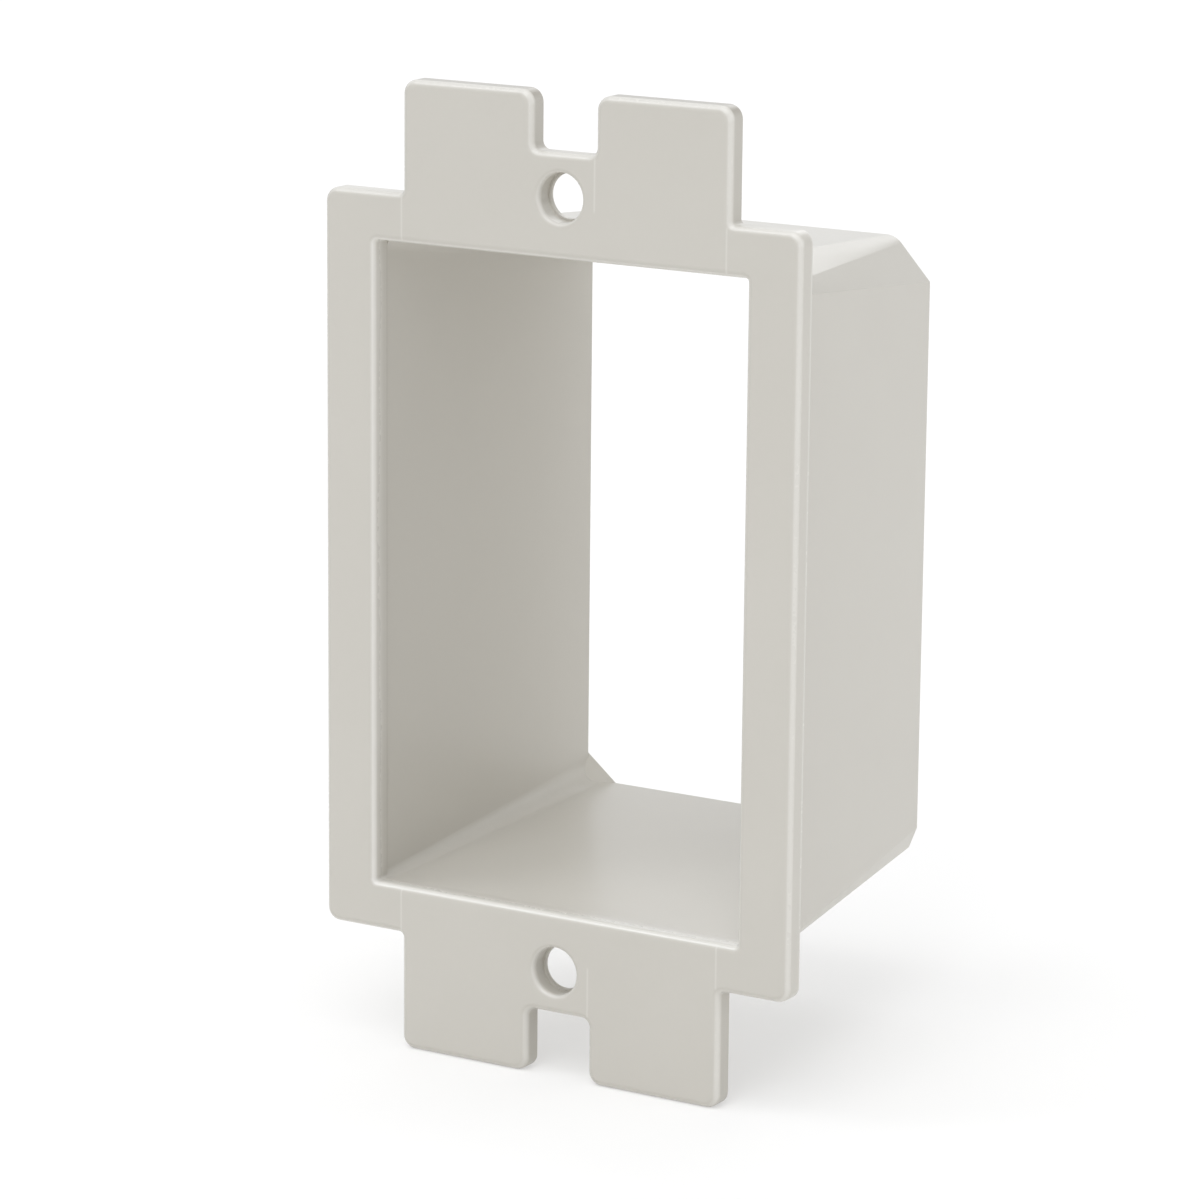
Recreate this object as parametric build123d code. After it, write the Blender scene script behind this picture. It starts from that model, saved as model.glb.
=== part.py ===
from build123d import *
import math
import os

# Single-gang electrical box extender, moulded in one piece.
# The flange stands upright and faces -Y. The open sleeve runs back from it along +Y.
# The origin lies midway between the two screw holes, on the back face of the flange.
# All lengths are in millimetres.

# Screw holes, on the standard spacing of wiring devices
screw_spacing = 83.3
screw_bore_radius = 2.65
screw_land_width = 0.25
screw_land_depth = 0.5
screw_rim_round = 0.55

# Flange: a frame around the opening, with a pair of ears above and below it
flange_thickness = 2.65
opening_width = 45.4
screw_to_opening = 6.4
frame_side = 6.3
frame_end = 5.25
ear_width = 39.8
upper_ear_rise = 12.1
lower_ear_drop = 13.0
notch_width = 7.7
screw_to_notch = 4.65
side_shift = 0.38

# Sleeve: it narrows from the front of the flange to the rear end
overall_depth = 41.3
narrowing_side = 2.2
narrowing_end = 2.85
root_wall_side = 2.95
root_wall_end = 1.65
rear_wall = 1.8
mouth_lip = 0.15
rear_chamfer = 0.25

# Upper outer corners: a slope at the flange, and at the rear end a flat with a rounded top
upper_slope_run = 4.6
upper_slope_drop = 2.9
upper_slope_round = 0.8
upper_flat_run = 4.34
upper_flat_drop = 4.75
upper_flat_round = 2.4

# Lower outer corners: nearly sharp at the flange, and a small flat at the rear end
lower_corner_radius = 0.4
lower_flat_run = 0.95
lower_flat_rise = 2.4

# Inner corners: each round grows from the flange to the rear end
upper_inner_radius_at_flange = 1.6
upper_inner_radius_at_rear = 4.2
lower_inner_radius_at_flange = 0.9
lower_inner_radius_at_rear = 2.4

# Webs across the lower inner corners at the rear end
web_run = 3.5
web_rise = 2.9
web_depth = 2.4

# Rounding of edges
tip_radius = 1.5
shoulder_radius = 0.5
notch_radius = 0.9
opening_radius = 0.35
front_round = 0.8
back_chamfer = 0.25

# Sizes that follow from the ones above
screw_z = screw_spacing / 2
screw_land_radius = screw_bore_radius - screw_land_width
opening_height = screw_spacing - 2 * screw_to_opening
frame_width = opening_width + 2 * frame_side
frame_height = opening_height + 2 * frame_end
frame_x = -side_shift
ear_x = side_shift
upper_tip_z = frame_height / 2 + upper_ear_rise
lower_tip_z = -frame_height / 2 - lower_ear_drop
notch_z = screw_z + screw_to_notch
inner_rear_x = opening_width / 2 - narrowing_side
inner_rear_z = opening_height / 2 - narrowing_end
outer_root_x = opening_width / 2 + root_wall_side
outer_root_z = opening_height / 2 + root_wall_end
outer_rear_x = inner_rear_x + rear_wall
outer_rear_z = inner_rear_z + rear_wall


def at_depth(depth):
    """Upright plane at a depth behind the front face: local X is X, local Y is Z."""
    return Plane.XZ.offset(flange_thickness - depth)


def mirrored_section(right_side):
    """Closed section, centred on the frame, from the edges of its right side, bottom first."""
    left_side = [edge.mirror(Plane.YZ) for edge in right_side]
    floor = Line(left_side[0] @ 0, right_side[0] @ 0)
    ceiling = Line(right_side[-1] @ 1, left_side[-1] @ 1)
    section = make_face([floor, *right_side, ceiling, *left_side])
    return Pos(frame_x, 0) * section


def rounded_corner(before, corner, after, radius):
    """Arc that rounds a corner which turns left, from the points before and after it."""
    come = (Vector(corner) - Vector(before)).normalized()
    go = (Vector(after) - Vector(corner)).normalized()
    turn = math.acos(come.dot(go))
    tangent = radius * math.tan(turn / 2)
    return RadiusArc(Vector(corner) - come * tangent, Vector(corner) + go * tangent, -radius)


def outer_section_at_flange():
    side_foot = Vector(outer_root_x, -outer_root_z + lower_corner_radius)
    lower_centre = side_foot - Vector(lower_corner_radius, 0)
    slope_foot = Vector(outer_root_x, outer_root_z - upper_slope_drop)
    slope_head = Vector(outer_root_x - upper_slope_run, outer_root_z)
    slope_turn = rounded_corner(side_foot, slope_foot, slope_head, upper_slope_round)
    return mirrored_section([
        CenterArc(lower_centre, lower_corner_radius, -90, 90),
        Line(side_foot, slope_turn @ 0),
        slope_turn,
        Line(slope_turn @ 1, slope_head),
    ])


def inset_flat(run, rise, inset):
    """Run and rise of a corner flat when the flat and both sides beside it move in by an inset."""
    length = math.hypot(run, rise)
    across = rise / length
    along = run / length
    return run - inset + inset * (1 - along) / across, rise - inset + inset * (1 - across) / along


def outer_section_at_rear(inset):
    """Section of the rear end, drawn in from its full size by an inset."""
    side_x = outer_rear_x - inset
    end_z = outer_rear_z - inset
    lower_run, lower_rise = inset_flat(lower_flat_run, lower_flat_rise, inset)
    upper_run, upper_drop = inset_flat(upper_flat_run, upper_flat_drop, inset)
    lower_flat = Line((side_x - lower_run, -end_z), (side_x, -end_z + lower_rise))
    flat_foot = Vector(side_x, end_z - upper_drop)
    flat_head = Vector(side_x - upper_run, end_z)
    head_turn = rounded_corner(flat_foot, flat_head, (0, end_z), upper_flat_round)
    return mirrored_section([
        lower_flat,
        Line(lower_flat @ 1, flat_foot),
        Line(flat_foot, head_turn @ 0),
        head_turn,
    ])


def inner_section(half_width, half_height, upper_radius, lower_radius):
    section = Rectangle(2 * half_width, 2 * half_height)
    section = fillet(section.vertices().group_by(Axis.Y)[-1], upper_radius)
    section = fillet(section.vertices().group_by(Axis.Y)[0], lower_radius)
    return Pos(frame_x, 0) * section


def at_places(shape, places):
    """Vertices of a shape that lie at the given places."""
    return [v for v in shape.vertices() if any((v.center() - p).length < 0.01 for p in places)]


# Flange outline: frame, ears and the notch between each pair of ears
frame = Pos(frame_x, 0) * Rectangle(frame_width, frame_height)
ear_height = upper_tip_z - lower_tip_z
ear_middle_z = (upper_tip_z + lower_tip_z) / 2
ears = Pos(ear_x, ear_middle_z) * Rectangle(ear_width, ear_height)
outline = frame + ears
for tip_z, floor_z in ((upper_tip_z, notch_z), (lower_tip_z, -notch_z)):
    notch_height = abs(tip_z - floor_z)
    notch_middle_z = (tip_z + floor_z) / 2
    outline -= Pos(ear_x, notch_middle_z) * Rectangle(notch_width, notch_height)

tips = []
shoulders = []
notch_corners = []
for corner in outline.vertices():
    beside_ear = abs(abs(corner.X - ear_x) - ear_width / 2) < 0.01
    if abs(abs(corner.Y) - notch_z) < 0.01:
        notch_corners.append(corner.center())
    elif beside_ear and abs(abs(corner.Y) - frame_height / 2) < 0.01:
        shoulders.append(corner.center())
    else:
        tips.append(corner.center())
outline = fillet(at_places(outline, tips), tip_radius)
outline = fillet(at_places(outline, shoulders), shoulder_radius)
outline = fillet(at_places(outline, notch_corners), notch_radius)
plate = extrude(at_depth(0) * outline, amount=-flange_thickness)
plate = chamfer(plate.faces().sort_by(Axis.Y)[-1].edges(), back_chamfer)

# Sleeve, solid at first
outer_root = at_depth(0) * outer_section_at_flange()
outer_rear = at_depth(overall_depth - rear_chamfer) * outer_section_at_rear(0)
outer_end = at_depth(overall_depth) * outer_section_at_rear(rear_chamfer)
sleeve = loft([outer_root, outer_rear, outer_end], ruled=True)
body = plate + sleeve

# Opening through the flange
mouth = Pos(frame_x, 0) * RectangleRounded(opening_width, opening_height, opening_radius)
body -= extrude(at_depth(0) * mouth, amount=-flange_thickness)

# Inside of the sleeve, trimmed where a web crosses each lower corner at the rear end
inner_root = inner_section(
    opening_width / 2 + mouth_lip,
    opening_height / 2 + mouth_lip,
    upper_inner_radius_at_flange,
    lower_inner_radius_at_flange,
)
inner_rear = inner_section(
    inner_rear_x,
    inner_rear_z,
    upper_inner_radius_at_rear,
    lower_inner_radius_at_rear,
)
inner_end = inner_section(
    inner_rear_x + rear_chamfer,
    inner_rear_z + rear_chamfer,
    upper_inner_radius_at_rear + rear_chamfer,
    lower_inner_radius_at_rear + rear_chamfer,
)
inner_sections = [
    at_depth(flange_thickness) * inner_root,
    at_depth(overall_depth - rear_chamfer) * inner_rear,
    at_depth(overall_depth) * inner_end,
]
inside = loft(inner_sections, ruled=True)
rear_y = overall_depth - flange_thickness
for side in (-1, 1):
    corner = Vector(frame_x + side * inner_rear_x, rear_y, -inner_rear_z)
    on_floor = corner - Vector(side * web_run, 0, 0)
    on_wall = corner + Vector(0, 0, web_rise)
    on_corner = corner - Vector(0, web_depth, 0)
    towards_middle = (on_floor - on_corner).cross(on_wall - on_corner).normalized()
    if towards_middle.Z < 0:
        towards_middle = towards_middle * -1
    inside = split(inside, bisect_by=Plane(origin=on_corner, z_dir=towards_middle), keep=Keep.TOP)
body -= inside

# Screw holes, each with a thin land left at the back of the flange
for z in (-screw_z, screw_z):
    centre = at_depth(0) * Pos(0, z)
    body -= centre * extrude(Circle(screw_bore_radius), amount=-(flange_thickness - screw_land_depth))
    body -= centre * extrude(Circle(screw_land_radius), amount=-flange_thickness)

# Rounded front edges: the outline and the opening first, then the rims of the screw holes
front = body.faces().sort_by(Axis.Y)[0]
body = fillet([e for e in front.edges() if not e.is_closed], front_round)
front = body.faces().sort_by(Axis.Y)[0]
body = fillet([e for e in front.edges() if e.is_closed], screw_rim_round)

os.makedirs("parts", exist_ok=True)
export_step(body, "parts/box_extender.step")
print("solids", len(body.solids()), "valid", body.is_valid, "volume", body.volume)
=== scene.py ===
import math

import bpy
from mathutils import Matrix, Vector

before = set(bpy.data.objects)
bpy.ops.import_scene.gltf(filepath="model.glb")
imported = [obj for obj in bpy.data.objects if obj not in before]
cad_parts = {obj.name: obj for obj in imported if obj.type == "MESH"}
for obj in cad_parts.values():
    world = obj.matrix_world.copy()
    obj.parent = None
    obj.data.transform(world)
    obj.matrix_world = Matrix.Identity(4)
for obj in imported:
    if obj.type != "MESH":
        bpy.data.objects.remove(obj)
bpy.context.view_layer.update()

# Places on the moulding, in metres.
# The origin lies midway between the screw holes, on the flange's back face.
FRONT_FACE = -0.00265
FRAME_X = -0.00038
FRAME_END = 0.0405
OPENING_END = 0.03525
NOTCH_END = 0.0463
HIGHEST_TIP = 0.0526
LOWEST_TIP = -0.0535

# Fine lines that the parts of the mould leave on the front face, both above and below the opening.
# Each has its X, and how far above and below the middle it starts and ends.
NOTCH_LINE_LENGTH = 0.006
MOULD_LINES = (
    (-0.01952, OPENING_END, FRAME_END),
    (0.01995, OPENING_END, FRAME_END),
    (0.00423, NOTCH_END - NOTCH_LINE_LENGTH, NOTCH_END),
)

# Bands across the flange's thickness: the depths in Y where each starts, is full, wanes and stops
FRONT_EDGE = (-0.00262, -0.00245, -0.00225, -0.00190)
BACK_EDGE = (-0.00054, -0.00044, -0.00008, 0.00002)
MOUTH_EDGE = (-0.00262, -0.00240, -0.00190, -0.00040)
EAR_EDGE = (-0.00195, -0.00175, -0.00030, -0.00015)

# Other limits, as the place where each area starts and the place from where it is full
ON_FRONT = (FRONT_FACE + 0.0003, FRONT_FACE + 0.0001)
FRAME_SIDES = (0.0280, 0.0283)
OPENING_WIDTH = (0.0236, 0.0235)
OPENING_HEIGHT = (OPENING_END + 0.0004, OPENING_END + 0.0003)
SIDE_WALLS = (OPENING_END - 0.0008, OPENING_END - 0.0012)
EARS = (FRAME_END, FRAME_END + 0.0006)
EAR_TOPS = (HIGHEST_TIP - 0.0012, HIGHEST_TIP - 0.0003)
LINE_SIDES = (0.00016, 0.000048)
LINE_TAPER = 0.0005
SEAM_SIDES = (0.00018, 0.000054)

# The plastic: its own two tones, a paler colour for the painted highlights on the rounded edges
# and for the mould lines, and a darker colour for the painted shade on the seam and the narrow
# faces around the ears
DEEPER_PLASTIC = (0.580, 0.556, 0.500, 1)
PALER_PLASTIC = (0.630, 0.606, 0.550, 1)
HIGHLIGHT_AND_LINE_PLASTIC = (0.78, 0.76, 0.71, 1)
SHADED_PLASTIC = (0.40, 0.375, 0.325, 1)

# The size of its cloud, its changes of sheen, its grain and its speckle, in metres
CLOUD_SIZE = 0.016
SHEEN_SIZE = 0.009
GRAIN_SIZE = 0.0011
SPECKLE_SIZE = 0.0006
GRAIN_DEPTH = 0.00003

# The floor's paper, as a source of light and as it is shown
PAPER = (0.812, 0.80, 0.777, 1)
SHOWN_PAPER = (0.935, 0.922, 0.896, 1)
GLOW_SHARE = 0.5
FLOOR_SIZE = 6

# Lamps: direction that each shines from, width in degrees, and strength
LAMPS = {
    "overhead_lamp": ((0, 0, 1), 60, 0.95),
    "rear_left_lamp": ((-0.6, 0.6, 0.5), 50, 0.34),
    "rear_lamp": ((-0.2, 0.84, 0.5), 25, 0.27),
    "low_rear_lamp": ((-0.5, 0.85, 0.15), 30, 0.08),
    "low_right_lamp": ((0.9, 0.35, 0.25), 50, 0.71),
    "high_front_lamp": ((0.1, -0.49, 0.86), 40, 0.76),
    "front_lamp": ((0.1, -0.75, 0.65), 30, 0.44),
    "front_right_lamp": ((0.6, -0.75, 0.02), 20, 0.54),
    "edge_lamp": ((-0.5, -0.3, 0.8), 20, 0.34),
}
WORLD_STRENGTH = 0.33

# Colour of the lamps and the world, a slightly cool white
LIGHT_COLOUR = (0.985, 1.0, 1.03)

# The camera's sensor in millimetres, and the width in pixels that its focal length is stated for
SENSOR_WIDTH = 36
FRAME_PIXELS = 1200


def place_camera(azimuth, elevation, roll, distance, target, focal_pixels):
    """Camera that looks at a target, from angles in degrees and a distance in metres."""
    a, e, r = (math.radians(v) for v in (azimuth, elevation, roll))
    forward = Vector((-math.sin(a) * math.cos(e), math.cos(a) * math.cos(e), -math.sin(e)))
    level = Vector((math.cos(a), math.sin(a), 0))
    upright = level.cross(forward)
    right = math.cos(r) * level + math.sin(r) * upright
    up = math.cos(r) * upright - math.sin(r) * level
    data = bpy.data.cameras.new("camera")
    data.sensor_fit = "HORIZONTAL"
    data.sensor_width = SENSOR_WIDTH
    data.lens = SENSOR_WIDTH * focal_pixels / FRAME_PIXELS
    camera = bpy.data.objects.new("camera", data)
    bpy.context.scene.collection.objects.link(camera)
    turn = Matrix((right, up, -forward)).transposed()
    camera.matrix_world = Matrix.Translation(Vector(target) - forward * distance) @ turn.to_4x4()
    bpy.context.scene.camera = camera


class Field:
    """A value that varies over a surface. Python arithmetic on it adds Math nodes."""

    def __init__(self, finish, socket):
        self.finish = finish
        self.socket = socket

    def maths(self, operation, first, second=None):
        inputs = {0: first} if second is None else {0: first, 1: second}
        return self.finish.add("Math", {"operation": operation}, inputs)

    def __add__(self, other):
        return self.maths("ADD", self, other)

    def __radd__(self, other):
        return self.maths("ADD", other, self)

    def __sub__(self, other):
        return self.maths("SUBTRACT", self, other)

    def __rsub__(self, other):
        return self.maths("SUBTRACT", other, self)

    def __mul__(self, other):
        return self.maths("MULTIPLY", self, other)

    def __rmul__(self, other):
        return self.maths("MULTIPLY", other, self)

    def __abs__(self):
        return self.maths("ABSOLUTE", self)


class Finish:
    """The nodes of one material."""

    def __init__(self, name):
        self.material = bpy.data.materials.new(name)
        self.material.use_nodes = True
        self.tree = self.material.node_tree
        self.tree.nodes.clear()

    def add(self, kind, settings=None, inputs=None, output=0):
        """Adds a node, makes its settings, and fills its inputs with values or links."""
        node = self.tree.nodes.new("ShaderNode" + kind)
        for name, value in (settings or {}).items():
            setattr(node, name, value)
        for name, value in (inputs or {}).items():
            if isinstance(value, Field):
                self.tree.links.new(value.socket, node.inputs[name])
            else:
                node.inputs[name].default_value = value
        return Field(self, node.outputs[output]) if len(node.outputs) else None

    def place(self):
        """The surface's place on the moulding, whole and as its X, Y and Z."""
        whole = self.add("TexCoord", output="Object")
        return whole, [self.add("SeparateXYZ", inputs={0: whole}, output=i) for i in range(3)]

    def noise(self, place, size, detail=2.0):
        """Cloudy noise around zero, with patches of about the given size in metres."""
        inputs = {"Vector": place, "Scale": 1 / size, "Detail": detail, "Roughness": 0.5}
        return self.add("TexNoise", None, inputs) - 0.5

    def fade(self, value, start, end):
        """A smooth step from 0 to 1 as a value goes from start to end."""
        inputs = {"Value": value, "From Min": start, "From Max": end, "To Min": 0.0, "To Max": 1.0}
        return self.add("MapRange", {"interpolation_type": "SMOOTHSTEP"}, inputs)

    def band(self, value, edges):
        """1 between the two middle edges, falling smoothly to 0 at the outer two."""
        start, full, wane, stop = edges
        return self.fade(value, start, full) * self.fade(value, stop, wane)

    def blend(self, factor, first, second):
        """A colour between two colours."""
        inputs = {"Factor": factor, 6: first, 7: second}
        return self.add("Mix", {"data_type": "RGBA"}, inputs, output=2)


def mould_lines(finish, x, y, z):
    """1 on the fine lines that the parts of the mould leave on the front face, 0 elsewhere."""
    height = abs(z)
    total = 0.0
    for line_x, low, high in MOULD_LINES:
        middle = (low + high) / 2
        reach = (high - low) / 2
        across = finish.fade(abs(x - line_x), *LINE_SIDES)
        along = finish.fade(abs(height - middle), reach, reach - LINE_TAPER)
        total = across * along + total
    return total * finish.fade(y, *ON_FRONT)


def flange_edge_highlights(finish, x, y):
    """Where a highlight is painted: 1 on the rounded front edges, and on the back edge at the
    frame's sides.
    """
    frame_sides = finish.fade(abs(x - FRAME_X), *FRAME_SIDES)
    return finish.band(y, FRONT_EDGE) + finish.band(y, BACK_EDGE) * frame_sides


def ear_face_shade(finish, y, z):
    """Where shade is painted: 1 on the narrow faces around the ears, and more on top of the upper
    ears.
    """
    around = finish.fade(abs(z), *EARS)
    on_top = finish.fade(z, *EAR_TOPS)
    return finish.band(y, EAR_EDGE) * (around + on_top * 1.8)


def inside_opening(finish, x, z):
    """1 within the opening and 0 outside of it."""
    across = finish.fade(abs(x - FRAME_X), *OPENING_WIDTH)
    return across * finish.fade(abs(z), *OPENING_HEIGHT)


def seam_and_ear_shade(finish, inside, y, z):
    """How far painted shade darkens the seam on the opening's side walls and the ears' narrow
    faces.
    """
    # Painted shade along the seam's recess on the opening's side walls
    seam = inside * finish.fade(abs(z), *SIDE_WALLS) * finish.fade(abs(y), *SEAM_SIDES)
    return seam * 0.4 + ear_face_shade(finish, y, z) * 0.34


def moulded_plastic():
    """Satin warm light grey plastic, with a faint cloud in its colour and a fine grain, painted
    highlights on its rounded edges, and painted shade on the seam and around the ears.
    """
    finish = Finish("moulded_plastic")
    whole, (x, y, z) = finish.place()
    cloud = finish.noise(whole, CLOUD_SIZE)
    speckle = finish.noise(whole, SPECKLE_SIZE, 1.0)
    lines = mould_lines(finish, x, y, z)
    inside = inside_opening(finish, x, z)
    # edges: where a highlight is painted, on the rounded front edges, the back edges at the
    # frame's sides and the opening's front edge
    edges = flange_edge_highlights(finish, x, y) + inside * finish.band(y, MOUTH_EDGE)

    tone = 0.5 + cloud * 0.5 + speckle * 0.12
    colour = finish.blend(tone, DEEPER_PLASTIC, PALER_PLASTIC)
    # Painted highlight: the rounded edges are made paler; the mould lines get the same paler
    # colour as their own
    colour = finish.blend(edges * 0.55 + lines * 0.35, colour, HIGHLIGHT_AND_LINE_PLASTIC)
    # Painted shade: the seam's recess and the ears' narrow faces are darkened
    colour = finish.blend(seam_and_ear_shade(finish, inside, y, z), colour, SHADED_PLASTIC)

    sheen = finish.noise(whole, SHEEN_SIZE) * 0.09 + speckle * 0.05 - edges * 0.06
    height = finish.noise(whole, GRAIN_SIZE, 3.0) + lines * 1.5
    bump = {"Strength": 0.10, "Distance": GRAIN_DEPTH, "Height": height}
    inputs = {
        "Base Color": colour,
        "Roughness": 0.32 + sheen,
        "IOR": 1.46,
        "Normal": finish.add("Bump", None, bump),
    }
    shader = finish.add("BsdfPrincipled", None, inputs)
    finish.add("OutputMaterial", None, {"Surface": shader})
    return finish.material


def floor_paper():
    """White paper, lighter to the camera and in reflections than as a source of light."""
    finish = Finish("floor_paper")
    paper = finish.add("BsdfDiffuse", None, {"Color": PAPER})
    lighter = finish.add("BsdfDiffuse", None, {"Color": SHOWN_PAPER})
    glow = finish.add("Emission", None, {"Color": (1, 1, 1, 1), "Strength": 1.0})
    shown = finish.add("MixShader", None, {0: GLOW_SHARE, 1: lighter, 2: glow})
    seen = finish.add("LightPath", output="Is Camera Ray")
    for ray in ("Glossy", "Transmission"):
        seen = seen + finish.add("LightPath", output=f"Is {ray} Ray")
    lit = finish.add("MixShader", None, {0: seen, 1: paper, 2: shown})
    finish.add("OutputMaterial", None, {"Surface": lit})
    return finish.material


def lay_floor():
    """Wide floor under the lowest tips of the ears."""
    bpy.ops.object.select_all(action="DESELECT")
    bpy.ops.mesh.primitive_plane_add(size=FLOOR_SIZE, location=(0, 0, LOWEST_TIP))
    floor = bpy.context.object
    floor.name = "floor"
    floor.data.materials.append(floor_paper())


def light_world():
    """Even light from all around."""
    world = bpy.data.worlds.new("world")
    bpy.context.scene.world = world
    world.use_nodes = True
    background = world.node_tree.nodes["Background"]
    background.inputs["Color"].default_value = (*LIGHT_COLOUR, 1)
    background.inputs["Strength"].default_value = WORLD_STRENGTH


def soft_lamp(name, direction, width, strength):
    """A distant lamp as wide as a soft box."""
    data = bpy.data.lights.new(name, "SUN")
    data.energy = strength
    data.color = LIGHT_COLOUR
    data.angle = math.radians(width)
    lamp = bpy.data.objects.new(name, data)
    bpy.context.scene.collection.objects.link(lamp)
    lamp.rotation_euler = (-Vector(direction)).to_track_quat("-Z", "Y").to_euler()


place_camera(
    azimuth=31.200,
    elevation=12.867,
    roll=0.538,
    distance=0.54449,
    target=(-0.00372, 0.01235, -0.00417),
    focal_pixels=5039.2,
)

plastic = moulded_plastic()
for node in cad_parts.values():
    node.data.materials.clear()
    node.data.materials.append(plastic)

lay_floor()
light_world()
for lamp_name, (direction, width, strength) in LAMPS.items():
    soft_lamp(lamp_name, direction, width, strength)

bpy.context.scene.view_settings.view_transform = "Standard"
